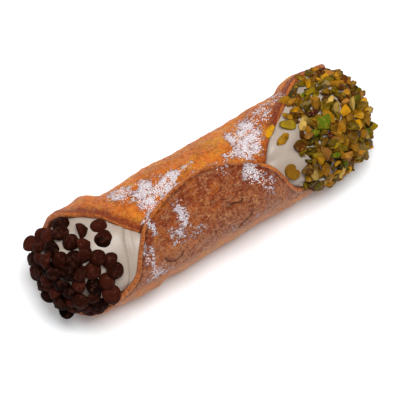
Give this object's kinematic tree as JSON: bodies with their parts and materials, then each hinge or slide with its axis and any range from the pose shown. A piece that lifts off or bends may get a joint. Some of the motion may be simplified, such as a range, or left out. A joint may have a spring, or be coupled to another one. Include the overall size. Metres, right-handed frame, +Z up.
{
  "type": "cannolo pastry",
  "caption": "Rolled and fried pastry tube filled with cream, with chocolate chips on one open end and chopped pistachio on the other.",
  "frame": {"origin": "centre of the bottom of the whole cannolo's box, on the surface that it lies on", "axes": "+X along the roll towards the pistachio end, +Z up, -Y towards the side where the outer flap laps over"},
  "size_m": [0.1283, 0.0386, 0.0372],
  "materials": {
    "shell": "fried dough, golden brown and dusted with icing sugar",
    "cream": "smooth ricotta cream with a soft sheen",
    "chocolate_chips": "dark chocolate with a dull sheen",
    "pistachio_pieces": "chopped nut, from green and yellow to tan, with purple skins"
  },
  "bodies": {
    "root": {"shell": "shell", "cream": "cream", "chocolate_chips": "chocolate_chips", "pistachio_pieces": "pistachio_pieces"}
  },
  "joints": []
}
